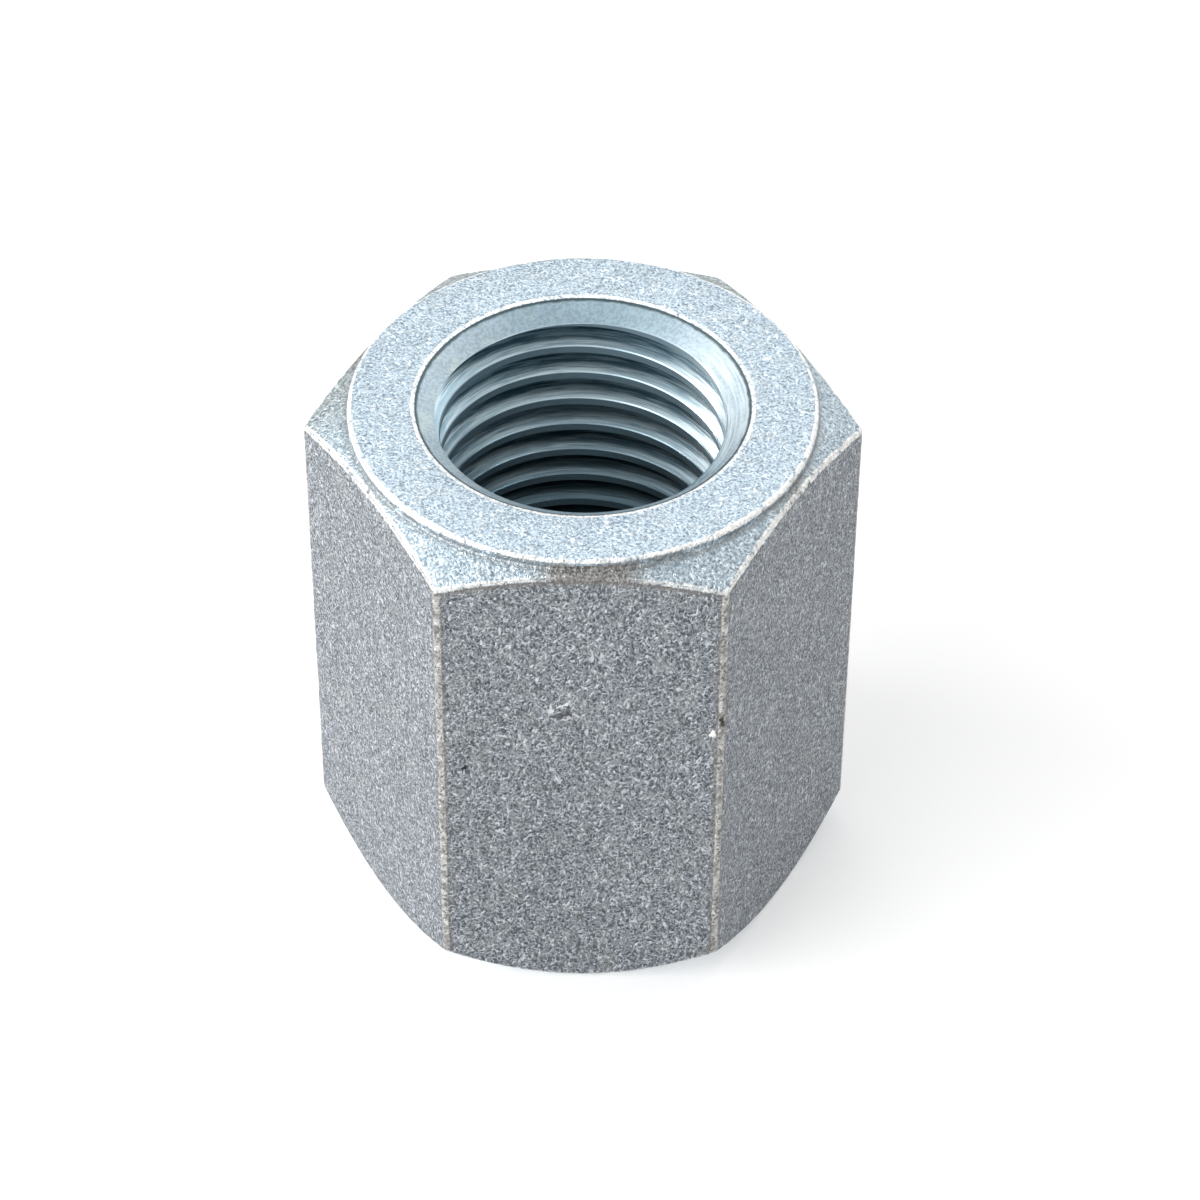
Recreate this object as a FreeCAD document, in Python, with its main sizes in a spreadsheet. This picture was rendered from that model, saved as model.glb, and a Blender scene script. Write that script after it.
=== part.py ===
import FreeCAD, Part
import math
import os
import Sketcher

# Flywheel nut: a tall hexagon nut turned from hexagon bar, with a raised washer face on
# top, corners cut back by a cone at both ends, and a tapped hole countersunk at both ends.
# Frame: millimetres. Z is the thread axis and points out of the washer face, the origin
# is the centre of the bottom face, and one corner of the hexagon points along +X.

# Driving sizes in millimetres and degrees, each written here once.
SIZES = [
    # Hexagon bar
    ("across_flats", 21.0),
    ("nut_height", 25.0),
    ("edge_radius", 0.3),
    # Washer face, the raised ring that bears on the work, set in from the flats
    ("washer_face_inset", 0.35),
    ("washer_face_height", 0.45),
    ("washer_rim_radius", 0.22),
    ("washer_root_radius", 0.12),
    # Cones that cut the corners back, their angles measured from the end faces
    ("top_cone_angle", 26.0),
    ("bottom_cone_angle", 42.0),
    ("bottom_face_inset", 0.2),
    # Tapped hole, with a countersink a little wider than the thread at each end
    ("thread_diameter", 14.0),
    ("thread_pitch", 1.5),
    ("countersink_margin", 0.35),
    ("countersink_angle", 120.0),
]

# Places worked out from the sizes. The hole is cut at the minor diameter of the thread,
# five eighths of the sharp profile's height inside the nominal one.
OUTSIDE = "Sizes.across_flats"
RIM = "(Sizes.across_flats / 2 - Sizes.washer_face_inset)"
STEP = "(Sizes.nut_height - Sizes.washer_face_height)"
BOTTOM_RIM = "(Sizes.across_flats / 2 - Sizes.bottom_face_inset)"
MINOR = "(Sizes.thread_diameter - 1.25 * Sizes.thread_pitch * cos(30 deg)) / 2"
MOUTH = "(Sizes.thread_diameter / 2 + Sizes.countersink_margin)"
SINK = f"({MOUTH} - {MINOR}) / tan(Sizes.countersink_angle * 0.5 deg)"

# The two roundings on the wall of the washer face take at most these shares of its
# height, so that a strip of the wall always stays between them.
ROOT_SHARE = 0.4
RIM_SHARE = 0.59

# The sketcher's numbers for its axes, the origin being the first point of the X axis,
# and for the points of a line or circle.
X_AXIS, Y_AXIS = -1, -2
START, END, CENTRE = 1, 2, 3

SIDES = 6
# Two places nearer than this, in millimetres, are one.
SAME_PLACE = 1e-4
# A cut or rounding that takes less than this, in cubic millimetres, has missed.
LEAST_CUT = 1e-6


def add_sizes(doc):
    """The spreadsheet of driving sizes, one named cell each."""
    sheet = doc.addObject("Spreadsheet::Sheet", "Sizes")
    for row, (name, value) in enumerate(SIZES, start=1):
        sheet.set(f"A{row}", name)
        sheet.set(f"B{row}", str(value))
        sheet.setAlias(f"B{row}", name)
    doc.recompute()
    return sheet


def add_sketch(body, name, role):
    """An empty sketch on one of the body's own origin planes."""
    plane = next(item for item in body.Origin.OriginFeatures if item.Role == role)
    sketch = body.newObject("Sketcher::SketchObject", name)
    sketch.AttachmentSupport = [(plane, "")]
    sketch.MapMode = "FlatFace"
    return sketch


def add_outline(sketch, corners):
    """Closed outline of straight lines, with each corner held by two expressions.

    A coordinate given as None lies on the axis of the sketch.
    """
    points = []
    for across, up in corners:
        x = float(sketch.evalExpression(across)) if across else 0.0
        y = float(sketch.evalExpression(up)) if up else 0.0
        points.append(FreeCAD.Vector(x, y, 0))
    count = len(points)
    for i, point in enumerate(points):
        sketch.addGeometry(Part.LineSegment(point, points[(i + 1) % count]))
    for i in range(count):
        join_lines(sketch, i, (i + 1) % count)
    for i, (across, up) in enumerate(corners):
        hold_corner(sketch, i, "DistanceX", across, points[i].x, Y_AXIS)
        hold_corner(sketch, i, "DistanceY", up, points[i].y, X_AXIS)


def join_lines(sketch, line, following):
    """Hold the end of one line on the start of the next."""
    sketch.addConstraint(Sketcher.Constraint("Coincident", line, END, following, START))


def hold_corner(sketch, line, direction, expression, start, axis):
    """Hold the first point of a line at an expression's distance from the origin."""
    if expression is None:
        sketch.addConstraint(Sketcher.Constraint("PointOnObject", line, START, axis))
        return
    held = Sketcher.Constraint(direction, X_AXIS, START, line, START, start)
    index = sketch.addConstraint(held)
    sketch.setExpression(f"Constraints[{index}]", expression)


def add_hexagon(body):
    """Hexagon bar: six equal sides round a circle, with one corner on the X axis."""
    sketch = add_sketch(body, "hexagon_section", "XY_Plane")
    corner_radius = "Sizes.across_flats / 2 / cos(30 deg)"
    radius = float(sketch.evalExpression(corner_radius))
    origin = FreeCAD.Vector(0, 0, 0)
    upward = FreeCAD.Vector(0, 0, 1)
    corners = []
    for i in range(SIDES):
        turn = math.tau * i / SIDES
        corners.append(FreeCAD.Vector(radius * math.cos(turn), radius * math.sin(turn), 0))
    for i in range(SIDES):
        sketch.addGeometry(Part.LineSegment(corners[i], corners[(i + 1) % SIDES]))
    circle = sketch.addGeometry(Part.Circle(origin, upward, radius), True)
    sketch.addConstraint(Sketcher.Constraint("Coincident", circle, CENTRE, X_AXIS, START))
    for i in range(SIDES):
        join_lines(sketch, i, (i + 1) % SIDES)
        sketch.addConstraint(Sketcher.Constraint("PointOnObject", i, START, circle))
    for i in range(1, SIDES):
        sketch.addConstraint(Sketcher.Constraint("Equal", 0, i))
    sketch.addConstraint(Sketcher.Constraint("PointOnObject", 0, START, X_AXIS))
    size = sketch.addConstraint(Sketcher.Constraint("Radius", circle, radius))
    sketch.setExpression(f"Constraints[{size}]", corner_radius)

    bar = body.newObject("PartDesign::Pad", "hexagon_bar")
    bar.Profile = sketch
    bar.setExpression("Length", "Sizes.nut_height")
    return bar


def add_rounding(body, name, base, chosen, radius):
    """Fillet on the edges of the base that the test chooses."""
    body.Document.recompute()
    names = []
    for i, edge in enumerate(base.Shape.Edges, start=1):
        if chosen(edge):
            names.append(f"Edge{i}")
    rounding = body.newObject("PartDesign::Fillet", name)
    rounding.Base = (base, names)
    rounding.setExpression("Radius", radius)
    return rounding


def add_turning(body, name, corners):
    """Waste turned away all round the thread axis, outlined in the XZ plane."""
    sketch = add_sketch(body, f"{name}_outline", "XZ_Plane")
    add_outline(sketch, corners)
    turning = body.newObject("PartDesign::Groove", name)
    turning.Profile = sketch
    turning.ReferenceAxis = (sketch, ["V_Axis"])
    turning.Angle = 360
    return turning


def is_upright(edge):
    """A straight edge along Z, as the six corners of the bar are."""
    start, end = edge.Vertexes[0].Point, edge.Vertexes[-1].Point
    return math.hypot(end.x - start.x, end.y - start.y) < SAME_PLACE


def is_circle_at(radius, level):
    """A test for the full circle of this radius round Z at this height."""

    def test(edge):
        curve = edge.Curve
        if not isinstance(curve, Part.Circle) or len(edge.Vertexes) != 1:
            return False
        same_radius = abs(curve.Radius - radius) < SAME_PLACE
        return same_radius and abs(curve.Center.z - level) < SAME_PLACE

    return test


def add_nut(doc, sheet):
    """The whole nut, in the order in which it is cut from the bar."""
    body = doc.addObject("PartDesign::Body", "flywheel_nut")
    body.Label = "flywheel_nut"
    bar = add_hexagon(body)
    add_rounding(body, "upright_edges", bar, is_upright, "Sizes.edge_radius")

    # The washer face stands proud of a cone that falls away towards the corners.
    cone_end = f"{STEP} - ({OUTSIDE} - {RIM}) * tan(Sizes.top_cone_angle * 1 deg)"
    above = "Sizes.nut_height + Sizes.washer_face_height"
    washer_face = add_turning(
        body,
        "washer_face",
        [(RIM, above), (RIM, STEP), (OUTSIDE, cone_end), (OUTSIDE, above)],
    )

    rim_radius = sheet.across_flats / 2 - sheet.washer_face_inset
    step_level = sheet.nut_height - sheet.washer_face_height
    root = add_rounding(
        body,
        "washer_face_root",
        washer_face,
        is_circle_at(rim_radius, step_level),
        f"min(Sizes.washer_root_radius; Sizes.washer_face_height * {ROOT_SHARE})",
    )
    add_rounding(
        body,
        "washer_face_rim",
        root,
        is_circle_at(rim_radius, sheet.nut_height),
        f"min(Sizes.washer_rim_radius; Sizes.washer_face_height * {RIM_SHARE})",
    )

    # The bottom end has no washer face: its cone starts just inside the flats.
    cone_top = f"({OUTSIDE} - {BOTTOM_RIM}) * tan(Sizes.bottom_cone_angle * 1 deg)"
    add_turning(
        body,
        "bottom_corners",
        [(BOTTOM_RIM, None), (OUTSIDE, None), (OUTSIDE, cone_top)],
    )

    # The hole for the thread, with the same countersink at each end.
    add_turning(
        body,
        "tapped_hole",
        [
            (None, None),
            (MOUTH, None),
            (MINOR, SINK),
            (MINOR, f"Sizes.nut_height - {SINK}"),
            (MOUTH, "Sizes.nut_height"),
            (None, "Sizes.nut_height"),
        ],
    )
    body.Placement = FreeCAD.Placement()
    return body


def check_features(doc, body):
    """Stop if a feature failed, or if a cut or rounding took nothing away."""
    for item in doc.Objects:
        if "Invalid" in item.State or "Error" in item.State:
            raise RuntimeError(f"{item.Label} failed: {item.State}")
    if body.Shape.isNull() or not body.Shape.isValid() or len(body.Shape.Solids) != 1:
        raise RuntimeError(f"{body.Label} is not one valid solid")
    cuts = [item for item in body.Group if item.isDerivedFrom("PartDesign::Feature")]
    for before, after in zip(cuts, cuts[1:]):
        if abs(before.Shape.Volume - after.Shape.Volume) < LEAST_CUT:
            raise RuntimeError(f"{after.Label} changed nothing")


def main():
    doc = FreeCAD.newDocument("flywheel_nut")
    sheet = add_sizes(doc)
    nut = add_nut(doc, sheet)
    doc.recompute()
    check_features(doc, nut)
    os.makedirs("parts", exist_ok=True)
    nut.Shape.exportStep(f"parts/{nut.Label}.step")
    box = nut.Shape.optimalBoundingBox(False)
    print(f"{nut.Label}: volume {nut.Shape.Volume:.1f} mm3, faces {len(nut.Shape.Faces)}")
    print(f"box {box.XLength:.3f} x {box.YLength:.3f} x {box.ZLength:.3f} mm")


main()
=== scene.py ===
from collections import namedtuple
import math

import bpy
from mathutils import Matrix, Vector, noise


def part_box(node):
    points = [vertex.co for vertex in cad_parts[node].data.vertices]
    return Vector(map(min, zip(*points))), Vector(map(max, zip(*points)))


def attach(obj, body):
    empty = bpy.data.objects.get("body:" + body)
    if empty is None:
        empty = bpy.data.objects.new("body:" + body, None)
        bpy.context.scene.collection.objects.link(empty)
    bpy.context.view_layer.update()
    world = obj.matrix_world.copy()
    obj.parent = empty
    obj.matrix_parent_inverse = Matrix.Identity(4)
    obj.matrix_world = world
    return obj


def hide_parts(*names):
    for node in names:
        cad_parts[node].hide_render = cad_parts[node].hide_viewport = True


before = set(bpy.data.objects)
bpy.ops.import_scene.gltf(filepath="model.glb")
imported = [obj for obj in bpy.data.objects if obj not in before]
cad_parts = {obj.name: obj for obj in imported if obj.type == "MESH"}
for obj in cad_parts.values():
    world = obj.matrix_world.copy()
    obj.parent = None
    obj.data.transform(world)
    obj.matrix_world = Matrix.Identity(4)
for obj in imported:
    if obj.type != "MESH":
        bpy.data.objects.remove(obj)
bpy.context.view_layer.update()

# Flywheel nut, dressed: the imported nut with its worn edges, its M14x1.5 thread and its
# zinc plated finish. Blender's unit is the metre, so sizes in millimetres are times MM.
MM = 0.001

# The nut's height and half its width across flats, as packed.
_, nut_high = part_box("flywheel_nut")
NUT_HEIGHT = nut_high.z
FLAT = nut_high.y

# The sides of the hexagon, as turns round the axis.
SIDES = 6
SIDE_TURN = math.tau / SIDES
HALF_SIDE = SIDE_TURN / 2

# Upright edges, with the distance from the axis to the centre of their rounding.
UPRIGHT_EDGE_RADIUS = 0.3 * MM
EDGE_CENTRE = (FLAT - UPRIGHT_EDGE_RADIUS) / math.cos(HALF_SIDE)

# Washer face and the cones that cut the corners back.
WASHER_FACE_RADIUS = FLAT - 0.35 * MM
STEP_LEVEL = NUT_HEIGHT - 0.45 * MM
TOP_CONE_SLOPE = math.tan(math.radians(26))
BOTTOM_FACE_RADIUS = FLAT - 0.2 * MM
BOTTOM_CONE_SLOPE = math.tan(math.radians(42))

# Thread and countersinks. A countersink is as steep as the flank of the thread. The crest
# is a quarter of the pitch wide.
THREAD_PITCH = 1.5 * MM
THREAD_RADIUS = 7.0 * MM
HALF_CREST = THREAD_PITCH / 8
MINOR_RADIUS = THREAD_RADIUS - 0.625 * THREAD_PITCH * math.cos(math.radians(30))
MOUTH_RADIUS = THREAD_RADIUS + 0.35 * MM
FLANK_ANGLE = math.radians(60)
FLANK_SLOPE = math.tan(FLANK_ANGLE)

# Roundings of the edges, and the narrow strip of mesh kept beside each of them. A point of
# the thread that is nearer than SAME_PLACE to a countersink lies on it.
WORN_RADIUS = 0.34 * MM
RIM_RADIUS = 0.22 * MM
ROOT_RADIUS = 0.12 * MM
MOUTH_ROUNDING = 0.3 * MM
BOTTOM_ROUNDING = 0.1 * MM
CREST_BEVEL = 0.05 * MM
STRIP = 0.04 * MM
SAME_PLACE = STRIP / 4

# Rubbing has taken up to this much off the edges, in lumps of about this size. Across the
# rounding of an edge it is deepest in the middle: the smaller RUBBED_CROWN is, the sooner
# it reaches its full depth.
RUBBED_DEPTH = 0.03 * MM
LUMP_SIZE = 0.7 * MM
RUBBED_CROWN = 0.4

# How much the rim and the edges over each flat are rubbed, from the flat at the back right
# round over the back and the left to the one in front and the one on its right. Near a
# corner each runs into the next, over this share of a side.
FLAT_RUBBED = (0.6, 0.5, 0.6, 0.85, 0.45, 0.8)
CORNER_SHARE = 0.25

# An edge that is rubbed less is also sharper, down to this share of its rounding, and the
# rim is rubbed at least this much everywhere.
SHARPEST = 0.4
RIM_LEAST_RUBBED = 0.7

# How much the mouths of the hole are rubbed, and the upright edges, which are dull. The
# upright edges' rubbing runs out over the flats on both sides.
LOWER_MOUTH_RUBBED = 0.8
UPPER_MOUTH_RUBBED = 0.85
UPRIGHT_RUBBED = 0.53
RUBBED_MARGIN = 0.15 * MM

# A darker strip lies beside the edges of a flat that is rubbed little, and painted shade lies
# in the root of the step. The strip has its full strength where the rubbing is less than
# UNRUBBED_BELOW. Over the middle of a flat there is a burr, which runs this far against the
# turn of the thread and is drawn out further along it. It hides this share of the edge's
# rubbing.
UNRUBBED_BELOW = 0.5
FRINGE = 0.4 * MM
ROOT_SHADE_WIDTH = 0.3 * MM
ROOT_WAVER = 0.3 * MM
BURR_SPREAD = math.radians(13)
BURR_DRAWN_OUT = math.radians(21)
BURR_HIDES = 0.5

# Columns of the mesh at each corner and along each flat, and its rows up a flat.
EDGE_STEPS = 8
FLAT_STEPS = 64
FLAT_ROWS = 22

# The camera's place, from the middle of the nut: its angles in degrees, its distance, and
# how far it stands aside and up in its own view. The lens and the sensor are in millimetres.
CAMERA_AZIMUTH = 0.08
CAMERA_ELEVATION = 42.78
CAMERA_ROLL = -0.36
CAMERA_DISTANCE = 189.44 * MM
CAMERA_OFFSET = (0.78 * MM, 0.70 * MM)
CAMERA_LENS = 126.4
CAMERA_SENSOR = 36

# How far the lamps stand from the nut, and half the width of the floor.
LAMP_DISTANCE = 500 * MM
FLOOR_REACH = 1500 * MM

# The studio is white to look at and in what the metal mirrors, and lights the floor with
# this strength. The floor adds this much light of its own to what is seen of it.
STUDIO_LIGHT = 0.3
FLOOR_GLOW = 0.4

# A corner of the nut's section, with its rounding and how much it is rubbed.
Corner = namedtuple("Corner", "radius height rounding steps rubbed")

# What each point of the mesh records for the finish: rubbed edges, surfaces turned on the
# lathe, the burrs over the flats, and the darker strip by an edge.
MARKS = ("rubbed", "turned", "burred", "fringe")


def between(low, high, share):
    """The number this share of the way from one to the other."""
    return low + (high - low) * share


def column_turns():
    """The turn of each column of the mesh round the axis, closer together at the edges."""
    turns = []
    for i in range(EDGE_STEPS + 1):
        lean = HALF_SIDE * (2 * i / EDGE_STEPS - 1)
        across = UPRIGHT_EDGE_RADIUS * math.sin(lean)
        turns.append(math.atan2(across, EDGE_CENTRE + UPRIGHT_EDGE_RADIUS * math.cos(lean)))
    first = turns[-1] + 2 * STRIP / FLAT
    last = SIDE_TURN - first
    for i in range(FLAT_STEPS + 1):
        turns.append(between(first, last, i / FLAT_STEPS))
    return [turn + side * SIDE_TURN for side in range(SIDES) for turn in turns]


def from_corner(turn):
    """How far this turn is from the nearest upright edge, in radians either way."""
    return (turn + HALF_SIDE) % SIDE_TURN - HALF_SIDE


def wear(turn):
    """How much the edges over a flat are rubbed, each flat running into the next."""
    place = (turn / SIDE_TURN - 0.5) % SIDES
    side = int(place)
    share = min(1, max(0, (place % 1 - 0.5) / CORNER_SHARE + 0.5))
    return between(FLAT_RUBBED[side], FLAT_RUBBED[(side + 1) % SIDES], share)


def hexagon_reach(turn):
    """Distance from the axis to the side of the hexagon, and how near an edge it is."""
    lean = from_corner(turn)
    half = UPRIGHT_EDGE_RADIUS / 2
    end = math.atan2(half, EDGE_CENTRE + half / math.tan(HALF_SIDE))
    if abs(lean) > end:
        beside = (abs(lean) - end) * FLAT / math.cos(HALF_SIDE)
        return FLAT / math.cos(HALF_SIDE - abs(lean)), max(0, 1 - beside / RUBBED_MARGIN)
    across = EDGE_CENTRE * math.sin(lean)
    reach = EDGE_CENTRE * math.cos(lean) + math.sqrt(UPRIGHT_EDGE_RADIUS**2 - across**2)
    return reach, 1.0


def rounded_corner(before, corner, after, radius, steps):
    """The arc that rounds a corner of the section, with a point a strip beyond each end."""
    back = (before - corner).normalized()
    on = (after - corner).normalized()
    half = back.angle(on) / 2
    reach = radius / math.tan(half)
    middle = (back + on).normalized()
    centre = corner + middle * (radius / math.sin(half))
    turn = (math.pi / 2 - half) * (1 if back.x * on.y < back.y * on.x else -1)
    arc = []
    for i in range(steps + 1):
        spoke = -middle * radius
        spoke.rotate(Matrix.Rotation(turn * (2 * i / steps - 1), 2))
        arc.append(centre + spoke)
    return [corner + back * (reach + STRIP), *arc, corner + on * (reach + STRIP)]


def outer_corners(reach, worn, burr):
    """Corners of the section, from the lower countersink's mouth up to the upper one's."""
    bottom_edge = (reach - BOTTOM_FACE_RADIUS) * BOTTOM_CONE_SLOPE
    top_edge = STEP_LEVEL - (reach - WASHER_FACE_RADIUS) * TOP_CONE_SLOPE
    softened = between(SHARPEST, 1, worn)
    top_rubbed = softened * (1 - BURR_HIDES * burr)
    rim_rubbed = between(RIM_LEAST_RUBBED, 1, worn)
    return [
        Corner(MOUTH_RADIUS, 0, MOUTH_ROUNDING, 3, LOWER_MOUTH_RUBBED),
        Corner(BOTTOM_FACE_RADIUS, 0, BOTTOM_ROUNDING, 3, 1.0),
        Corner(reach, bottom_edge, BOTTOM_ROUNDING, 3, softened),
        Corner(reach, top_edge, WORN_RADIUS * softened, 6, top_rubbed),
        Corner(WASHER_FACE_RADIUS, STEP_LEVEL, ROOT_RADIUS, 4, 0.0),
        Corner(WASHER_FACE_RADIUS, NUT_HEIGHT, RIM_RADIUS * softened, 8, rim_rubbed),
        Corner(MOUTH_RADIUS, NUT_HEIGHT, MOUTH_ROUNDING, 4, UPPER_MOUTH_RUBBED),
    ]


# Where three of these corners are in the list.
BOTTOM_EDGE, TOP_EDGE, STEP_ROOT = 2, 3, 4


def rub(turn, point, amount):
    """The point, sunk a little into the nut where its edge is rubbed away."""
    place = Vector((point.x * math.cos(turn), point.x * math.sin(turn), point.y)) / LUMP_SIZE
    # Three layers of noise, each half as large and half as strong as the one before.
    lump = max(0, 0.5 + 0.5 * noise.fractal(place, 1.0, 2.0, 3))
    depth = RUBBED_DEPTH * amount * lump
    inward = 1 if point.y < NUT_HEIGHT / 2 else -1
    return point.x - depth, point.y + inward * depth


def flat_rows(turn, low, high, rubbed, fringe):
    """The section's points up a flat, from above its lower edge to below its upper one."""
    rows = []
    for row in range(1, FLAT_ROWS + 1):
        point = low.lerp(high, row / FLAT_ROWS)
        rows.append((*rub(turn, point, rubbed), rubbed, 0, 0, fringe))
    return rows


def outer_section(turn):
    """Section of the outside at one turn, from the lower countersink to the upper one.

    Each point is its radius, its height and then its MARKS.
    """
    reach, on_edge = hexagon_reach(turn)
    upright_rubbed = UPRIGHT_RUBBED * on_edge
    worn = wear(turn)
    lean = from_corner(turn)
    beside = abs(lean) * FLAT / math.cos(HALF_SIDE) - UPRIGHT_EDGE_RADIUS / 2
    unrubbed = min(1, (1 - worn) / (1 - UNRUBBED_BELOW))
    fringe = unrubbed * max(0, 1 - beside / FRINGE)
    from_middle = HALF_SIDE - abs(lean)
    burr = unrubbed * max(0, 1 - from_middle / (BURR_DRAWN_OUT if lean < 0 else BURR_SPREAD))
    corners = outer_corners(reach, worn, burr)
    sink = MOUTH_RADIUS / FLANK_SLOPE
    path = [Vector((0, sink))]
    path += [Vector((corner.radius, corner.height)) for corner in corners]
    path.append(Vector((0, NUT_HEIGHT - sink)))

    section = []
    for i, corner in enumerate(corners):
        arc = rounded_corner(*path[i : i + 3], corner.rounding, corner.steps)
        for place, point in enumerate(arc):
            share = place / (len(arc) - 1)
            flat_share = {BOTTOM_EDGE: share, TOP_EDGE: 1 - share}.get(i, 0)
            rubbed = corner.rubbed * max(0, math.sin(share * math.pi)) ** RUBBED_CROWN
            if flat_share > 0.5:
                rubbed = max(rubbed, upright_rubbed)
            burred = burr if i in (TOP_EDGE, STEP_ROOT) and flat_share < 1 else 0
            edge_fringe = unrubbed if i == TOP_EDGE and flat_share == 1 else fringe * flat_share
            marks = (rubbed, 1 - flat_share, burred, edge_fringe)
            section.append((*rub(turn, point, rubbed), *marks))
        if i == BOTTOM_EDGE:
            top_arc = rounded_corner(*path[i + 1 : i + 4], corners[i + 1].rounding, 1)
            high = Vector((reach, top_arc[0].y - FRINGE))
            section += flat_rows(turn, arc[-1], high, upright_rubbed, fringe)
    return section


def thread_profile():
    """One pitch of the thread from the middle of a crest up: height and depth of its corners.

    The upper corner of a crest has a bevel, and the lower one is sharp.
    """
    depth = THREAD_RADIUS - MINOR_RADIUS
    flank = depth / FLANK_SLOPE
    rise = CREST_BEVEL * math.cos(FLANK_ANGLE)
    run = CREST_BEVEL * math.sin(FLANK_ANGLE)
    return [
        (HALF_CREST - CREST_BEVEL / 2, 0.0),
        (HALF_CREST + rise, run),
        (HALF_CREST + flank, depth),
        (THREAD_PITCH - HALF_CREST - flank, depth),
        (THREAD_PITCH - HALF_CREST, 0.0),
    ]


# The rows of the thread begin a pitch below the nut and end above it.
PROFILE = thread_profile()
ROWS_IN_PITCH = len(PROFILE)
THREAD_ROWS = ROWS_IN_PITCH * (math.ceil(NUT_HEIGHT / THREAD_PITCH) + 2)


def thread_row(turn, row):
    """Height and radius of one row of the right-hand thread at one turn."""
    pitches, place = divmod(row, ROWS_IN_PITCH)
    height, depth = PROFILE[place]
    start = THREAD_PITCH * (pitches - 1 + turn / math.tau)
    return start + height, MINOR_RADIUS + depth


def upper_sink(height):
    """Radius of the upper countersink at this height."""
    return MOUTH_RADIUS - (NUT_HEIGHT - height) * FLANK_SLOPE


def lower_sink(height):
    """Radius of the lower countersink at this height."""
    return MOUTH_RADIUS - height * FLANK_SLOPE


def crossing(rows, sink):
    """Where the thread's section meets a countersink, as height and radius."""
    for (low, low_radius), (high, high_radius) in zip(rows, rows[1:]):
        below = sink(low) - low_radius
        above = sink(high) - high_radius
        if (below < 0) != (above < 0):
            share = below / (below - above)
            return between(low, high, share), between(low_radius, high_radius, share)
    raise RuntimeError("the thread never meets its countersink")


class NutMesh:
    """The nut's surface as one closed mesh, built column by column round the axis."""

    def __init__(self):
        self.places = []
        self.marks = []
        self.faces = []
        self.bore_faces = set()
        self.sharp = set()

    def point(self, turn, radius, height, *marks):
        self.places.append((radius * math.cos(turn), radius * math.sin(turn), height))
        self.marks.append(marks or (0,) * len(MARKS))
        return len(self.places) - 1

    def face(self, corners, bore=False):
        """A face through these points, unless fewer than three of them are separate."""
        kept = [c for i, c in enumerate(corners) if c != corners[i - 1]]
        if len(kept) > 2:
            if bore:
                self.bore_faces.add(len(self.faces))
            self.faces.append(kept)


def add_outside(surface, turns):
    """The outside of the nut. Returns each column's points."""
    columns = []
    for turn in turns:
        columns.append([surface.point(turn, *point) for point in outer_section(turn)])
    for i, column in enumerate(columns):
        after = columns[(i + 1) % len(columns)]
        for row in range(len(column) - 1):
            surface.face([column[row], after[row], after[row + 1], column[row + 1]])
    return columns


def bore_column(surface, turn):
    """One column of the thread. Its rows beyond a countersink all end in the crossing."""
    rows = [thread_row(turn, row) for row in range(THREAD_ROWS)]
    low, high = crossing(rows, lower_sink), crossing(rows, upper_sink)
    low_point = surface.point(turn, low[1], low[0])
    high_point = surface.point(turn, high[1], high[0])
    column = []
    for height, radius in rows:
        if height < low[0] + SAME_PLACE:
            column.append(low_point)
        elif height > high[0] - SAME_PLACE:
            column.append(high_point)
        else:
            column.append(surface.point(turn, radius, height))
    return column


def add_bore(surface, turns, outside):
    """The threaded hole, between the outside's first and last rows.

    The thread climbs one pitch in a turn, so at the seam each row meets the next pitch.
    """
    columns = [bore_column(surface, turn) for turn in turns]
    count = len(columns)
    for i, column in enumerate(columns):
        after = columns[(i + 1) % count]
        shift = ROWS_IN_PITCH if i == count - 1 else 0
        after = after[shift:] + after[-1:] * shift
        for row in range(THREAD_ROWS - 1):
            surface.face([column[row + 1], after[row + 1], after[row], column[row]], bore=True)
            surface.sharp.add(frozenset((column[row], after[row])))
        surface.sharp.add(frozenset((column[0], after[0])))
        surface.sharp.add(frozenset((column[-1], after[-1])))
        lower, lower_after = outside[i][0], outside[(i + 1) % count][0]
        upper, upper_after = outside[i][-1], outside[(i + 1) % count][-1]
        surface.face([column[0], after[0], lower_after, lower], bore=True)
        surface.face([upper, upper_after, after[-1], column[-1]], bore=True)


def add_nut(outside_finish, bore_finish):
    """The dressed nut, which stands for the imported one."""
    surface = NutMesh()
    turns = column_turns()
    outside = add_outside(surface, turns)
    add_bore(surface, turns, outside)

    mesh = bpy.data.meshes.new("flywheel_nut_dressed")
    mesh.from_pydata(surface.places, [], surface.faces)
    mesh.materials.append(outside_finish)
    mesh.materials.append(bore_finish)
    for i in surface.bore_faces:
        mesh.polygons[i].material_index = 1
    mesh.shade_smooth()
    for name, values in zip(MARKS, zip(*surface.marks)):
        mesh.attributes.new(name, "FLOAT", "POINT").data.foreach_set("value", values)
    sharp = [frozenset(edge.vertices) in surface.sharp for edge in mesh.edges]
    mesh.attributes.new("sharp_edge", "BOOLEAN", "EDGE").data.foreach_set("value", sharp)
    mesh.validate()
    nut = bpy.data.objects.new("dressed_nut", mesh)
    bpy.context.scene.collection.objects.link(nut)
    return nut


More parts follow.
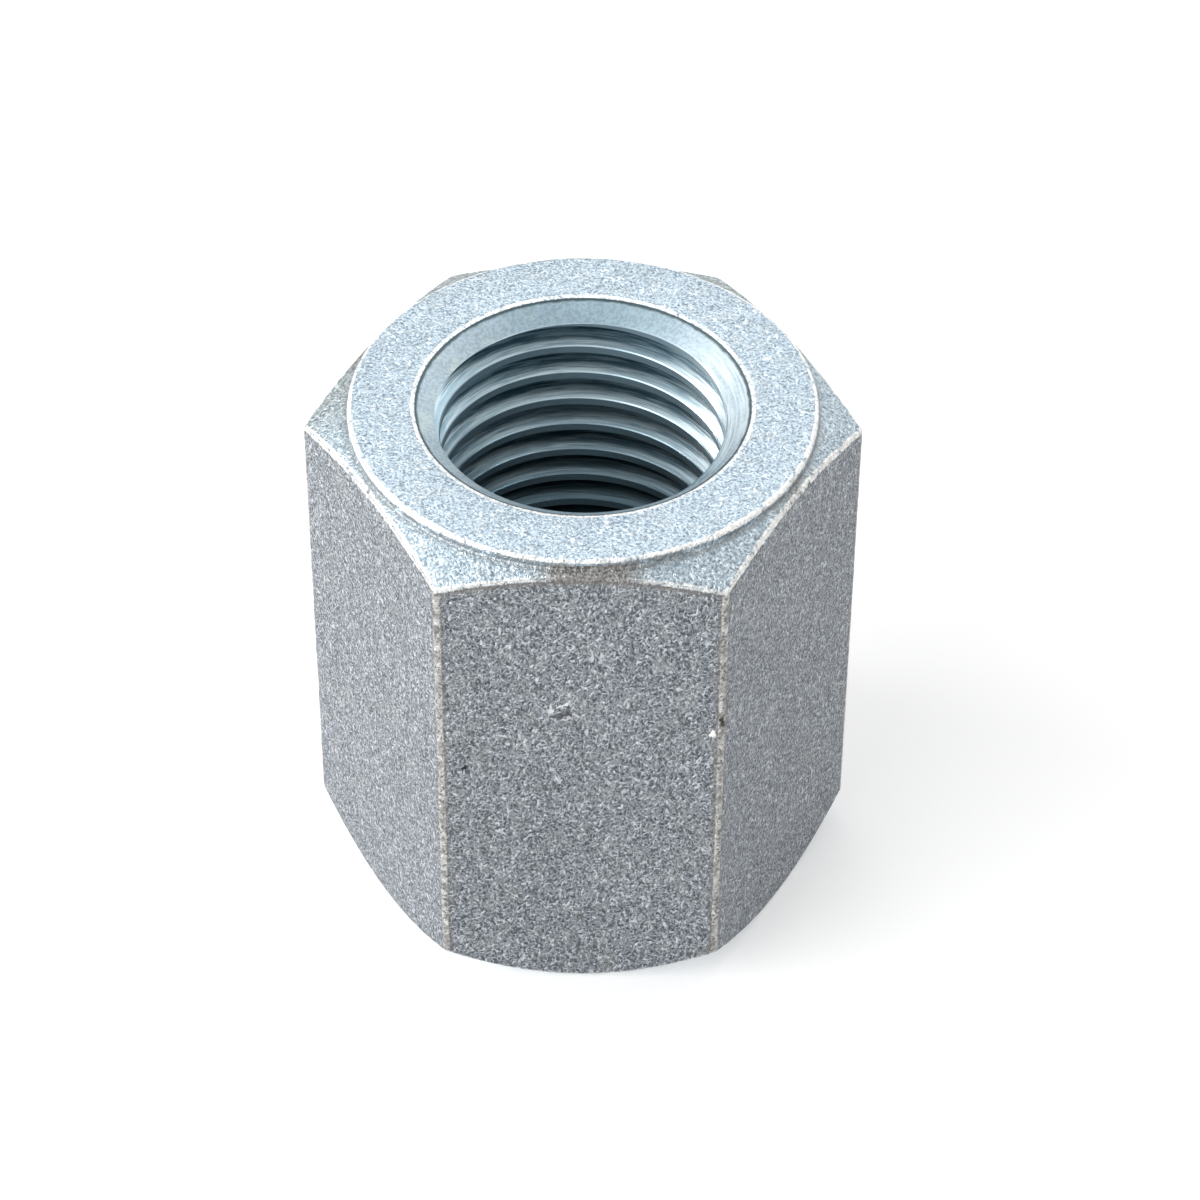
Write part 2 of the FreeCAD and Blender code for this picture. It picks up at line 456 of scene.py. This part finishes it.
class Nodes:
    """Adds nodes to one tree, and sets or links what goes into them."""

    def __init__(self, tree):
        self.tree = tree

    def feed(self, socket, value):
        if isinstance(value, bpy.types.NodeSocket):
            self.tree.links.new(value, socket)
        else:
            socket.default_value = value

    def add(self, kind, inputs=None, **settings):
        node = self.tree.nodes.new(kind)
        for name, value in settings.items():
            setattr(node, name, value)
        for name, value in (inputs or {}).items():
            self.feed(node.inputs[name], value)
        return node

    def maths(self, operation, *values):
        node = self.add("ShaderNodeMath", operation=operation)
        for socket, value in zip(node.inputs, values):
            self.feed(socket, value)
        return node.outputs[0]

    def vector(self, operation, *values, output="Vector"):
        node = self.add("ShaderNodeVectorMath", operation=operation)
        for socket, value in zip(node.inputs, values):
            self.feed(socket, value)
        return node.outputs[output]

    def spread(self, value, low, high, to_low=0.0, to_high=1.0):
        """The value, taken from one range to another with soft ends."""
        inputs = {"Value": value, "From Min": low, "From Max": high}
        inputs |= {"To Min": to_low, "To Max": to_high}
        node = self.add("ShaderNodeMapRange", inputs, interpolation_type="SMOOTHSTEP")
        return node.outputs["Result"]

    def noise(self, place, size, detail=0.0):
        """Noise with lumps of about this size."""
        inputs = {"Vector": place, "Scale": 1 / size, "Detail": detail}
        return self.add("ShaderNodeTexNoise", inputs).outputs["Fac"]

    def blend(self, share, first, second):
        """A colour between two colours."""
        node = self.add("ShaderNodeMix", data_type="RGBA")
        self.feed(node.inputs["Factor"], share)
        self.feed(node.inputs["A"], first)
        self.feed(node.inputs["B"], second)
        return node.outputs["Result"]

    def mark(self, name):
        """One of the mesh's own marks."""
        return self.add("ShaderNodeAttribute", attribute_name=name).outputs["Fac"]

    def group(self, tree, **inputs):
        """Places a group, whose inputs are named with spaces for underscores."""
        node = self.add("ShaderNodeGroup", node_tree=tree)
        for name, value in inputs.items():
            self.feed(node.inputs[name.replace("_", " ")], value)
        return node.outputs


def colour(red, green, blue):
    return (red, green, blue, 1.0)


# Zinc in its hollows, on its crystals and along their ridges: on the flats, on the turned
# washer face, on the turned cones, and on the cones at the back, painted darker as shade.
# The turned faces are paler and bluer than the flats partly for their finish and partly as
# painted light from above; the flats are darker partly as painted shade.
Zinc = namedtuple("Zinc", "hollow crystal ridge")
FLAT_ZINC = Zinc(
    colour(0.078, 0.087, 0.097), colour(0.240, 0.262, 0.286), colour(0.50, 0.535, 0.572)
)
RING_ZINC = Zinc(
    colour(0.20, 0.255, 0.305), colour(0.42, 0.505, 0.565), colour(0.62, 0.695, 0.755)
)
CONE_ZINC = Zinc(
    colour(0.185, 0.235, 0.28), colour(0.40, 0.475, 0.52), colour(0.61, 0.685, 0.73)
)
SHADED_CONE_ZINC = Zinc(
    colour(0.13, 0.15, 0.155), colour(0.30, 0.34, 0.345), colour(0.46, 0.5, 0.5)
)
PIT = colour(0.10, 0.11, 0.12)
WARM_CLOUD = colour(0.48, 0.47, 0.44)

# Painted shade in the root of the step, burrs and a darker strip on the zinc, the tones of a
# rubbed edge, and the single marks.
ROOT_SHADE = colour(0.22, 0.235, 0.24)
BURR_DARK = colour(0.10, 0.095, 0.09)
BURR_PALE = colour(0.30, 0.285, 0.265)
FRINGE_BROWN = colour(0.17, 0.155, 0.14)
RUBBED_DARK = colour(0.66, 0.66, 0.64)
RUBBED_PALE = colour(0.88, 0.88, 0.86)
GOUGE_GREY = colour(0.07, 0.07, 0.08)
RAISED_METAL = colour(0.8, 0.81, 0.82)
SPECK_BLACK = colour(0.03, 0.03, 0.035)
CONE_DIRT = colour(0.09, 0.085, 0.08)
NICK_BROWN = colour(0.05, 0.045, 0.04)
CHIP_WHITE = colour(0.9, 0.9, 0.89)

# Steel in the hole: the scored thread, a painted highlight by its crest lips, and its crest
# flats, partly rubbed and partly painted light.
SCORED_DARK = colour(0.11, 0.21, 0.27)
SCORED_PALE = colour(0.46, 0.58, 0.63)
TIP_HIGHLIGHT_STEEL = colour(0.46, 0.56, 0.61)
CREST_RUBBED_AND_LIT = colour(0.40, 0.55, 0.63)
# The countersinks: painted shade at the front and back, painted light at the sides, and their
# mottling and stains.
SINK_SHADE_STEEL = colour(0.275, 0.37, 0.425)
SINK_LIT_STEEL = colour(0.335, 0.41, 0.46)
MOTTLED_GREY = colour(0.13, 0.18, 0.20)
CREAM_STAIN = colour(0.45, 0.51, 0.46)
# A painted highlight on the right of the hole, on the thread and on the countersinks.
HIGHLIGHT_THREAD = colour(0.76, 0.86, 0.91)
HIGHLIGHT_SINK = colour(0.58, 0.66, 0.70)
# Painted shade deep in the hole.
DEEP_SHADE_STEEL = colour(0.05, 0.095, 0.12)
# A painted shadow in a thin line under each mouth.
MOUTH_SHADOW = colour(0.04, 0.06, 0.065)

# The size of the zinc's grain on the flats and on what the lathe has cut, how much it is
# drawn out upwards, and how high it stands.
FLAT_GRAIN = 0.128 * MM
TURNED_GRAIN = 0.15 * MM
GRAIN_DRAWN = (1.0, 1.0, 0.75)
GRAIN_RELIEF = 0.05 * MM

# The cones are painted darker as shade this way, towards the back and a little to the left.
SHADE_WAY = (-0.25, 1.0, 0.0)

# The gouge, its lip and the speck run this way, rising to the right.
SCAR_RUN = (0.87, 0.0, 0.49)
UPWARD = (0.0, 0.0, 1.0)
# The dirt on the cone at the back right, as a turn, a radius and a height.
CONE_DIRT_TURN = math.radians(41.5)
CONE_DIRT_RADIUS = 10.7 * MM
CONE_DIRT_HEIGHT = 24.3 * MM
# Half the front flat's width, where the nicked edge is.
HALF_FLAT_WIDTH = FLAT * math.tan(HALF_SIDE)

# The scores run round the hole. Their pattern changes at its full rate outwards, and at
# these shares of it along X and Y and upwards.
SCORES_DRAWN = (0.05, 0.05, 0.0)
SCORES_UPWARDS = 0.3
SCORE_DEPTH = 0.012 * MM

# The painted highlight on one side of the hole, as a turn round the axis, how far it keeps
# its full brightness either way, and where it ends.
HIGHLIGHT_TURN = math.radians(8)
HIGHLIGHT_CORE = math.radians(16)
HIGHLIGHT_END = math.radians(50)


def new_group(name, inputs, outputs):
    """A node group, its inputs given as name and kind, and its outputs as names."""
    group = bpy.data.node_groups.new(name, "ShaderNodeTree")
    for socket, kind in inputs.items():
        group.interface.new_socket(socket, in_out="INPUT", socket_type=f"NodeSocket{kind}")
    for socket in outputs:
        group.interface.new_socket(socket, in_out="OUTPUT", socket_type="NodeSocketFloat")
    nodes = Nodes(group)
    return group, nodes, nodes.add("NodeGroupInput").outputs, nodes.add("NodeGroupOutput").inputs


def plating_grain_group():
    """The zinc's crystals: short winding ridges, with pits and brighter specks in them."""
    inputs = {"Position": "Vector", "Grain Size": "Float"}
    outputs = ("Height", "Tone", "Ridges", "Pits", "Clouds")
    group, nodes, given, made = new_group("plating_grain", inputs, outputs)

    def grain_noise(size, detail=0.0, distortion=0.0):
        """Noise with lumps of this size, counted in grains."""
        scale = nodes.maths("DIVIDE", 1 / size, given["Grain Size"])
        settings = {"Vector": given["Position"], "Scale": scale}
        settings |= {"Detail": detail, "Distortion": distortion}
        return nodes.add("ShaderNodeTexNoise", settings).outputs["Fac"]

    def crest(size, distortion, width):
        """A thin winding line wherever a noise passes its middle value."""
        winding = nodes.maths("SUBTRACT", grain_noise(size, distortion=distortion), 0.5)
        return nodes.spread(nodes.maths("ABSOLUTE", winding), 0.0, width, 1.0, 0.0)

    # Two sets of lines take turns, so that each line stays short.
    short = nodes.spread(grain_noise(1.1), 0.4, 0.56)
    elsewhere = nodes.maths("SUBTRACT", 1.0, short)
    first = nodes.maths("MULTIPLY", crest(1.6, distortion=0.6, width=0.085), short)
    other = nodes.maths("MULTIPLY", crest(1.3, distortion=1.0, width=0.07), elsewhere)
    specks = nodes.spread(grain_noise(1.5), 0.72, 0.78)
    ridges = nodes.maths("ADD", nodes.maths("ADD", first, other), specks)
    nodes.feed(made["Ridges"], ridges)

    fine = grain_noise(0.8, detail=0.5, distortion=0.3)
    nodes.feed(made["Height"], nodes.maths("MULTIPLY_ADD", ridges, 0.5, fine))
    nodes.feed(made["Tone"], nodes.spread(fine, 0.3, 0.7))
    low = nodes.spread(fine, 0.3, 0.4, 1.0, 0.0)
    pitted = nodes.spread(grain_noise(4.0), 0.5, 0.62)
    nodes.feed(made["Pits"], nodes.maths("MULTIPLY", low, pitted))
    nodes.feed(made["Clouds"], grain_noise(6.0, detail=3.0))
    return group


def rubbing_group():
    """Where an edge is rubbed bright: a ragged band along it, with gaps."""
    inputs = {"Position": "Vector", "Edge": "Float", "Raggedness": "Float"}
    group, nodes, given, made = new_group("rubbing", inputs, ("Bright",))
    ragged = nodes.maths("SUBTRACT", nodes.noise(given["Position"], 0.4 * MM, detail=4.0), 0.5)
    near = nodes.maths("MULTIPLY", given["Edge"], given["Edge"])
    shift = nodes.maths("MULTIPLY", nodes.maths("MULTIPLY", ragged, given["Raggedness"]), near)
    gaps = nodes.spread(nodes.noise(given["Position"], 0.14 * MM, detail=1.0), 0.54, 0.66)
    edge = nodes.maths("ADD", given["Edge"], nodes.maths("MULTIPLY_ADD", gaps, -0.3, shift))
    nodes.feed(made["Bright"], nodes.spread(edge, 0.3, 0.85))
    return group


def streak_group():
    """A short straight mark: one at its middle line, nothing beyond its length or width."""
    inputs = {"Position": "Vector", "Middle": "Vector", "Along": "Vector"}
    inputs |= {"Length": "Float", "Width": "Float"}
    group, nodes, given, made = new_group("streak", inputs, ("Mark",))
    away = nodes.vector("SUBTRACT", given["Position"], given["Middle"])
    reach = nodes.vector("DOT_PRODUCT", away, given["Along"], output="Value")
    scaling = {"Vector": given["Along"], "Scale": reach}
    along = nodes.add("ShaderNodeVectorMath", scaling, operation="SCALE").outputs["Vector"]
    off = nodes.vector("LENGTH", nodes.vector("SUBTRACT", away, along), output="Value")
    ends = nodes.maths("DIVIDE", nodes.maths("ABSOLUTE", reach), given["Length"])
    sides = nodes.maths("DIVIDE", off, given["Width"])
    beyond = nodes.maths("MAXIMUM", ends, sides)
    nodes.feed(made["Mark"], nodes.spread(beyond, 0.25, 0.5, 1.0, 0.0))
    return group


def new_material(name):
    material = bpy.data.materials.new(name)
    material.use_nodes = True
    material.node_tree.nodes.clear()
    nodes = Nodes(material.node_tree)
    shader = nodes.add("ShaderNodeBsdfPrincipled")
    output = nodes.add("ShaderNodeOutputMaterial")
    nodes.feed(output.inputs["Surface"], shader.outputs["BSDF"])
    return material, nodes, shader.inputs


def from_axis(nodes, place):
    """How far a place is from the nut's axis."""
    level = nodes.vector("MULTIPLY", place, (1.0, 1.0, 0.0))
    return nodes.vector("LENGTH", level, output="Value")


def wavering(nodes, place):
    """The place, shoved about a little, so that what is drawn there gets uneven sides."""
    inputs = {"Vector": place, "Scale": 1 / (0.3 * MM), "Detail": 2.0}
    waver = nodes.add("ShaderNodeTexNoise", inputs).outputs["Color"]
    shove = nodes.vector("SUBTRACT", waver, (0.5, 0.5, 0.5))
    shoved = nodes.vector("MULTIPLY", shove, (0.6 * MM, 0.6 * MM, 0.6 * MM))
    return nodes.vector("ADD", place, shoved)


def zinc_tones(nodes, grain, zinc):
    """The colours of one kind of zinc, laid over its grain."""
    tone = nodes.blend(grain["Tone"], zinc.hollow, zinc.crystal)
    return nodes.blend(grain["Ridges"], tone, zinc.ridge)


def clean_plating(nodes, place, grain, out, turned):
    """The plating before dirt: grey on the flats, paler on the washer face and cones, partly painted
    light.
    """
    ring = zinc_tones(nodes, grain, RING_ZINC)
    beyond = nodes.spread(out, WASHER_FACE_RADIUS - 0.05 * MM, WASHER_FACE_RADIUS + 0.05 * MM)
    lathe_cut = nodes.blend(beyond, ring, zinc_tones(nodes, grain, CONE_ZINC))
    # Painted shade: the cones darken towards the back and a little to the left.
    back = nodes.vector("DOT_PRODUCT", place, SHADE_WAY, output="Value")
    cone_shade = nodes.maths("MULTIPLY", beyond, nodes.spread(back, -1.0 * MM, 5.0 * MM, 0.0, 0.8))
    lathe_cut = nodes.blend(cone_shade, lathe_cut, zinc_tones(nodes, grain, SHADED_CONE_ZINC))
    plate = nodes.blend(turned, zinc_tones(nodes, grain, FLAT_ZINC), lathe_cut)
    pits = nodes.maths("MULTIPLY", grain["Pits"], nodes.spread(turned, 0.0, 1.0, 0.7, 0.38))
    plate = nodes.blend(pits, plate, PIT)
    warm = nodes.spread(grain["Clouds"], 0.5, 0.7, 0.0, 0.15)
    return nodes.blend(warm, plate, WARM_CLOUD)


def burred_and_shaded_plating(nodes, plate, grain, out, turned):
    """Painted shade in the root of the step, burrs over the flats, and a dark fringe by the edges.
    """
    # Painted shade in the root of the step, with an uneven edge.
    uneven = nodes.maths("MULTIPLY_ADD", grain["Clouds"], ROOT_WAVER, out)
    wall = WASHER_FACE_RADIUS + ROOT_WAVER / 2
    root = nodes.spread(uneven, wall - 0.04 * MM, wall)
    root = nodes.maths("MULTIPLY", root, nodes.spread(uneven, wall, wall + ROOT_SHADE_WIDTH, 1.0, 0.0))
    root = nodes.maths("MULTIPLY", root, turned)
    plate = nodes.blend(nodes.maths("MULTIPLY", root, 0.7), plate, ROOT_SHADE)
    burr = nodes.blend(grain["Tone"], BURR_DARK, BURR_PALE)
    plate = nodes.blend(nodes.spread(nodes.mark("burred"), 0.1, 0.6, 0.0, 0.85), plate, burr)
    fringe = nodes.spread(nodes.mark("fringe"), 0.2, 1.0, 0.0, 0.75)
    return nodes.blend(fringe, plate, FRINGE_BROWN)


def marked(nodes, plate, tint, strength, streak, **shape):
    """The plating with one short mark of this colour on it."""
    mark = nodes.group(streak, **shape)["Mark"]
    return nodes.blend(nodes.maths("MULTIPLY", mark, strength), plate, tint)


def scarred_plating(nodes, plate, streak, place):
    """The gouge in the front flat with its bright lip, a speck, and dirt on a back cone."""
    scar = {"Position": place, "Along": SCAR_RUN}
    gouge = (-0.75 * MM, -FLAT, 16.5 * MM)
    raised_lip = (-0.9 * MM, -FLAT, 16.95 * MM)
    speck = (-4.95 * MM, -FLAT, 13.3 * MM)
    plate = marked(
        nodes, plate, GOUGE_GREY, 0.8, streak, **scar, Middle=gouge, Length=1.1 * MM, Width=0.4 * MM
    )
    plate = marked(
        nodes, plate, RAISED_METAL, 0.8, streak,
        **scar, Middle=raised_lip, Length=1.4 * MM, Width=0.22 * MM,
    )
    plate = marked(
        nodes, plate, SPECK_BLACK, 1.0, streak, **scar, Middle=speck, Length=0.5 * MM, Width=0.3 * MM
    )
    across, up = math.cos(CONE_DIRT_TURN), math.sin(CONE_DIRT_TURN)
    dirt = (CONE_DIRT_RADIUS * across, CONE_DIRT_RADIUS * up, CONE_DIRT_HEIGHT)
    return marked(
        nodes, plate, CONE_DIRT, 0.85, streak,
        Position=place, Middle=dirt, Along=(-up, across, 0.0), Length=2.4 * MM, Width=0.9 * MM,
    )


def nicked_edge(nodes, plate, streak, place):
    """The dark nick and the bright chip on the edge at the right of the front flat."""
    edge = {"Position": place, "Along": UPWARD}
    nick = (HALF_FLAT_WIDTH + 0.02 * MM, -FLAT, 16.1 * MM)
    chip = (HALF_FLAT_WIDTH - 0.42 * MM, -FLAT, 15.5 * MM)
    plate = marked(
        nodes, plate, NICK_BROWN, 1.0, streak, **edge, Middle=nick, Length=0.8 * MM, Width=0.4 * MM
    )
    return marked(
        nodes, plate, CHIP_WHITE, 1.0, streak, **edge, Middle=chip, Length=0.6 * MM, Width=0.34 * MM
    )


def zinc_plate(grain_group, rubbing, streak):
    """Blue zinc plating on the outside: matt winding grain, rubbed pale along the edges."""
    material, nodes, shader = new_material("zinc_plate")
    place = nodes.add("ShaderNodeTexCoord").outputs["Object"]
    turned = nodes.mark("turned")
    grain_size = nodes.spread(turned, 0.4, 0.6, FLAT_GRAIN, TURNED_GRAIN)
    drawn = nodes.vector("MULTIPLY", place, GRAIN_DRAWN)
    grain = nodes.group(grain_group, Position=drawn, Grain_Size=grain_size)
    out = from_axis(nodes, place)
    uneven_place = wavering(nodes, place)

    plate = clean_plating(nodes, place, grain, out, turned)
    plate = burred_and_shaded_plating(nodes, plate, grain, out, turned)
    plate = scarred_plating(nodes, plate, streak, uneven_place)
    edge = nodes.mark("rubbed")
    bright = nodes.group(rubbing, Position=place, Edge=edge, Raggedness=2.4)["Bright"]
    plate = nodes.blend(bright, plate, nodes.blend(grain["Tone"], RUBBED_DARK, RUBBED_PALE))
    plate = nicked_edge(nodes, plate, streak, uneven_place)

    nodes.feed(shader["Base Color"], plate)
    shader["Metallic"].default_value = 1.0
    nodes.feed(shader["Roughness"], nodes.spread(bright, 0.0, 1.0, 0.5, 0.45))
    bump = nodes.add("ShaderNodeBump", {"Height": grain["Height"], "Distance": GRAIN_RELIEF})
    nodes.feed(shader["Normal"], bump.outputs["Normal"])
    return material


def scoring(nodes, place, height, out):
    """Fine scores and broader streaks that run round the hole, as one shade."""
    across = nodes.maths("MULTIPLY_ADD", height, SCORES_UPWARDS, out)
    drawn = nodes.vector("MULTIPLY", place, SCORES_DRAWN)
    stacked = nodes.add("ShaderNodeCombineXYZ", {"Z": across}).outputs["Vector"]
    run = nodes.vector("ADD", drawn, stacked)
    scores = nodes.noise(run, 0.07 * MM, detail=2.0)
    streaks = nodes.noise(run, 0.2 * MM, detail=3.0)
    return nodes.maths("MULTIPLY_ADD", scores, 0.4, nodes.maths("MULTIPLY", streaks, 0.6))


def thread_tint(nodes, place, out, shade, crest):
    """The thread's steel: scored, with painted light towards the crests; the crest flats are also
    rubbed.
    """
    tint = nodes.blend(nodes.spread(shade, 0.42, 0.58), SCORED_DARK, SCORED_PALE)
    uneven = nodes.maths("MULTIPLY_ADD", nodes.noise(place, 0.8 * MM, detail=3.0), 0.5 * MM, out)
    uneven = nodes.maths("MULTIPLY_ADD", shade, 0.6 * MM, uneven)
    uneven = nodes.maths("SUBTRACT", uneven, 0.55 * MM)
    # Painted highlight along the crest lips, fading deeper into the groove.
    tip_highlight = nodes.spread(uneven, MINOR_RADIUS + 0.02 * MM, MINOR_RADIUS + 0.5 * MM, 0.5, 0.0)
    tint = nodes.blend(tip_highlight, tint, TIP_HIGHLIGHT_STEEL)
    # The crest flats: paler partly from rubbing and partly as painted light.
    return nodes.blend(nodes.maths("MULTIPLY", crest, 0.8), tint, CREST_RUBBED_AND_LIT)


def countersink_tint(nodes, place, across, out):
    """The countersinks: mottled, with painted shade at the front and back, stained cream on the
    left.
    """
    aside = nodes.maths("DIVIDE", nodes.maths("ABSOLUTE", across), out)
    tint = nodes.blend(nodes.spread(aside, 0.2, 0.9), SINK_SHADE_STEEL, SINK_LIT_STEEL)
    mottling = nodes.noise(place, 0.14 * MM, detail=2.0)
    tint = nodes.blend(nodes.spread(mottling, 0.38, 0.64, 0.0, 0.4), tint, MOTTLED_GREY)
    stains = nodes.spread(nodes.noise(place, 1.6 * MM, detail=2.0), 0.45, 0.7, 0.0, 0.5)
    on_left = nodes.spread(across, -4.5 * MM, 0.0, 1.0, 0.0)
    return nodes.blend(nodes.maths("MULTIPLY", stains, on_left), tint, CREAM_STAIN)


def painted_highlight(nodes, split, sink, shade):
    """Where a highlight is painted on the hole: less along the dark scores and in the countersinks.
    """
    turn = nodes.maths("ARCTAN2", split["Y"], split["X"])
    aside = nodes.maths("ABSOLUTE", nodes.maths("SUBTRACT", turn, HIGHLIGHT_TURN))
    bright = nodes.spread(aside, HIGHLIGHT_CORE, HIGHLIGHT_END, 1.0, 0.0)
    bright = nodes.maths("MULTIPLY", bright, nodes.spread(shade, 0.4, 0.56, 0.3, 0.9))
    return nodes.maths("MULTIPLY", bright, nodes.spread(sink, 0.0, 1.0, 1.0, 0.75))


def tapped_steel():
    """The cut surfaces of the hole: a scored thread between matt countersinks."""
    material, nodes, shader = new_material("tapped_steel")
    place = nodes.add("ShaderNodeTexCoord").outputs["Object"]
    split = nodes.add("ShaderNodeSeparateXYZ", {"Vector": place}).outputs
    out = from_axis(nodes, place)
    shade = scoring(nodes, place, split["Z"], out)
    crest = nodes.spread(out, MINOR_RADIUS + 0.004 * MM, MINOR_RADIUS + 0.02 * MM, 1.0, 0.0)
    thread = thread_tint(nodes, place, out, shade, crest)

    half_height = NUT_HEIGHT / 2
    from_middle = nodes.maths("ABSOLUTE", nodes.maths("SUBTRACT", split["Z"], half_height))
    sink = nodes.spread(from_middle, half_height - 0.7 * MM, half_height - 0.6 * MM)
    tint = nodes.blend(sink, thread, countersink_tint(nodes, place, split["X"], out))
    # Painted highlight on the right of the hole, on the thread and the countersinks.
    bright = painted_highlight(nodes, split, sink, shade)
    tint = nodes.blend(bright, tint, nodes.blend(sink, HIGHLIGHT_THREAD, HIGHLIGHT_SINK))

    # Painted shade deep in the hole, and a painted shadow in a thin uneven line under its mouths.
    deep_shade = nodes.spread(from_middle, 0.5 * MM, 9.0 * MM, 0.85, 0.0)
    tint = nodes.blend(deep_shade, tint, DEEP_SHADE_STEEL)
    uneven = nodes.maths("MULTIPLY_ADD", nodes.noise(place, 0.5 * MM, detail=2.0), 0.12 * MM, out)
    line = nodes.spread(uneven, MOUTH_RADIUS - 0.22 * MM, MOUTH_RADIUS - 0.11 * MM, 0.0, 0.9)
    tint = nodes.blend(line, tint, MOUTH_SHADOW)

    nodes.feed(shader["Base Color"], tint)
    shader["Metallic"].default_value = 1.0
    smooth = nodes.maths("MULTIPLY_ADD", bright, -0.12, 0.32)
    matt = nodes.maths("MAXIMUM", crest, sink)
    nodes.feed(shader["Roughness"], nodes.spread(matt, 0.0, 1.0, smooth, 0.5))
    bump = nodes.add("ShaderNodeBump", {"Height": shade, "Distance": SCORE_DEPTH})
    nodes.feed(shader["Normal"], bump.outputs["Normal"])
    return material


def seen_ray(nodes):
    """One for the camera's own rays and for what metal or glass shows, else nothing."""
    path = nodes.add("ShaderNodeLightPath").outputs
    seen = nodes.maths("MAXIMUM", path["Is Camera Ray"], path["Is Glossy Ray"])
    return nodes.maths("MAXIMUM", seen, path["Is Transmission Ray"])


def add_floor():
    """A plain pale floor under the nut, which keeps its shadow."""
    material, nodes, shader = new_material("floor_paint")
    shader["Base Color"].default_value = colour(0.7, 0.7, 0.7)
    shader["Roughness"].default_value = 0.9
    shader["Specular IOR Level"].default_value = 0.0
    shader["Emission Color"].default_value = colour(1, 1, 1)
    nodes.feed(shader["Emission Strength"], nodes.maths("MULTIPLY", seen_ray(nodes), FLOOR_GLOW))
    left_front, right_front = (-FLOOR_REACH, -FLOOR_REACH, 0), (FLOOR_REACH, -FLOOR_REACH, 0)
    right_back, left_back = (FLOOR_REACH, FLOOR_REACH, 0), (-FLOOR_REACH, FLOOR_REACH, 0)
    mesh = bpy.data.meshes.new("floor")
    mesh.from_pydata([left_front, right_front, right_back, left_back], [], [(0, 1, 2, 3)])
    mesh.materials.append(material)
    floor = bpy.data.objects.new("floor", mesh)
    bpy.context.scene.collection.objects.link(floor)


def direction(azimuth, elevation):
    """Unit vector to a place round the nut. Azimuth 0 is in front, 90 is on the right."""
    azimuth, elevation = math.radians(azimuth), math.radians(elevation)
    level = math.cos(elevation)
    return Vector((math.sin(azimuth) * level, -math.cos(azimuth) * level, math.sin(elevation)))


def add_softbox(name, azimuth, elevation, width, height, brightness):
    """A soft oblong lamp that faces the nut, as bright to look at as a colour of that value."""
    lamp = bpy.data.lights.new(name, "AREA")
    lamp.shape = "RECTANGLE"
    lamp.size = width
    lamp.size_y = height
    lamp.energy = brightness * math.pi * width * height
    holder = bpy.data.objects.new(name, lamp)
    away = direction(azimuth, elevation)
    holder.location = Vector((0, 0, NUT_HEIGHT / 2)) + away * LAMP_DISTANCE
    holder.rotation_euler = away.to_track_quat("Z", "Y").to_euler()
    holder.visible_camera = False
    bpy.context.scene.collection.objects.link(holder)


def add_lamps():
    """Soft light from above and behind, brightest from low on the left, in a pale studio.

    The weaker lamps show in the cones, the countersink and the flanks of the thread.
    """
    add_softbox("lamp_above", 180, 56, 0.6, 0.35, 1.6)
    add_softbox("lamp_left", -70, 20, 0.8, 0.32, 5.8)
    add_softbox("lamp_left_front", -50, 40, 0.4, 0.3, 1.0)
    add_softbox("lamp_left_back", -100, 45, 0.35, 0.3, 1.0)
    add_softbox("lamp_right_back", 140, 28, 0.4, 0.3, 1.0)
    add_softbox("lamp_right", 90, 45, 0.4, 0.3, 0.2)

    world = bpy.data.worlds.new("studio")
    world.use_nodes = True
    nodes = Nodes(world.node_tree)
    background = world.node_tree.nodes["Background"]
    background.inputs["Color"].default_value = colour(1, 1, 1)
    strength = nodes.spread(seen_ray(nodes), 0.0, 1.0, STUDIO_LIGHT, 1.0)
    nodes.feed(background.inputs["Strength"], strength)
    bpy.context.scene.world = world


def add_camera():
    """The camera at the photograph's place, a little to the side of the nut's middle."""
    back = direction(CAMERA_AZIMUTH, CAMERA_ELEVATION)
    level = Vector((0, 0, 1)).cross(back).normalized()
    upright = back.cross(level)
    across, up = CAMERA_OFFSET
    target = Vector((0, 0, NUT_HEIGHT / 2))
    place = target + level * across + upright * up + back * CAMERA_DISTANCE
    axes = Matrix((level, upright, back)).transposed()
    turned = axes @ Matrix.Rotation(math.radians(-CAMERA_ROLL), 3, "Z")
    camera = bpy.data.cameras.new("camera")
    camera.lens = CAMERA_LENS
    camera.sensor_width = CAMERA_SENSOR
    camera.clip_start = 10 * MM
    holder = bpy.data.objects.new("camera", camera)
    holder.matrix_world = Matrix.Translation(place) @ turned.to_4x4()
    bpy.context.scene.collection.objects.link(holder)
    bpy.context.scene.camera = holder


add_floor()
add_lamps()
add_camera()
bpy.context.scene.view_settings.view_transform = "Standard"

zinc = zinc_plate(plating_grain_group(), rubbing_group(), streak_group())
nut = add_nut(zinc, tapped_steel())
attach(nut, "root")
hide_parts("flywheel_nut")
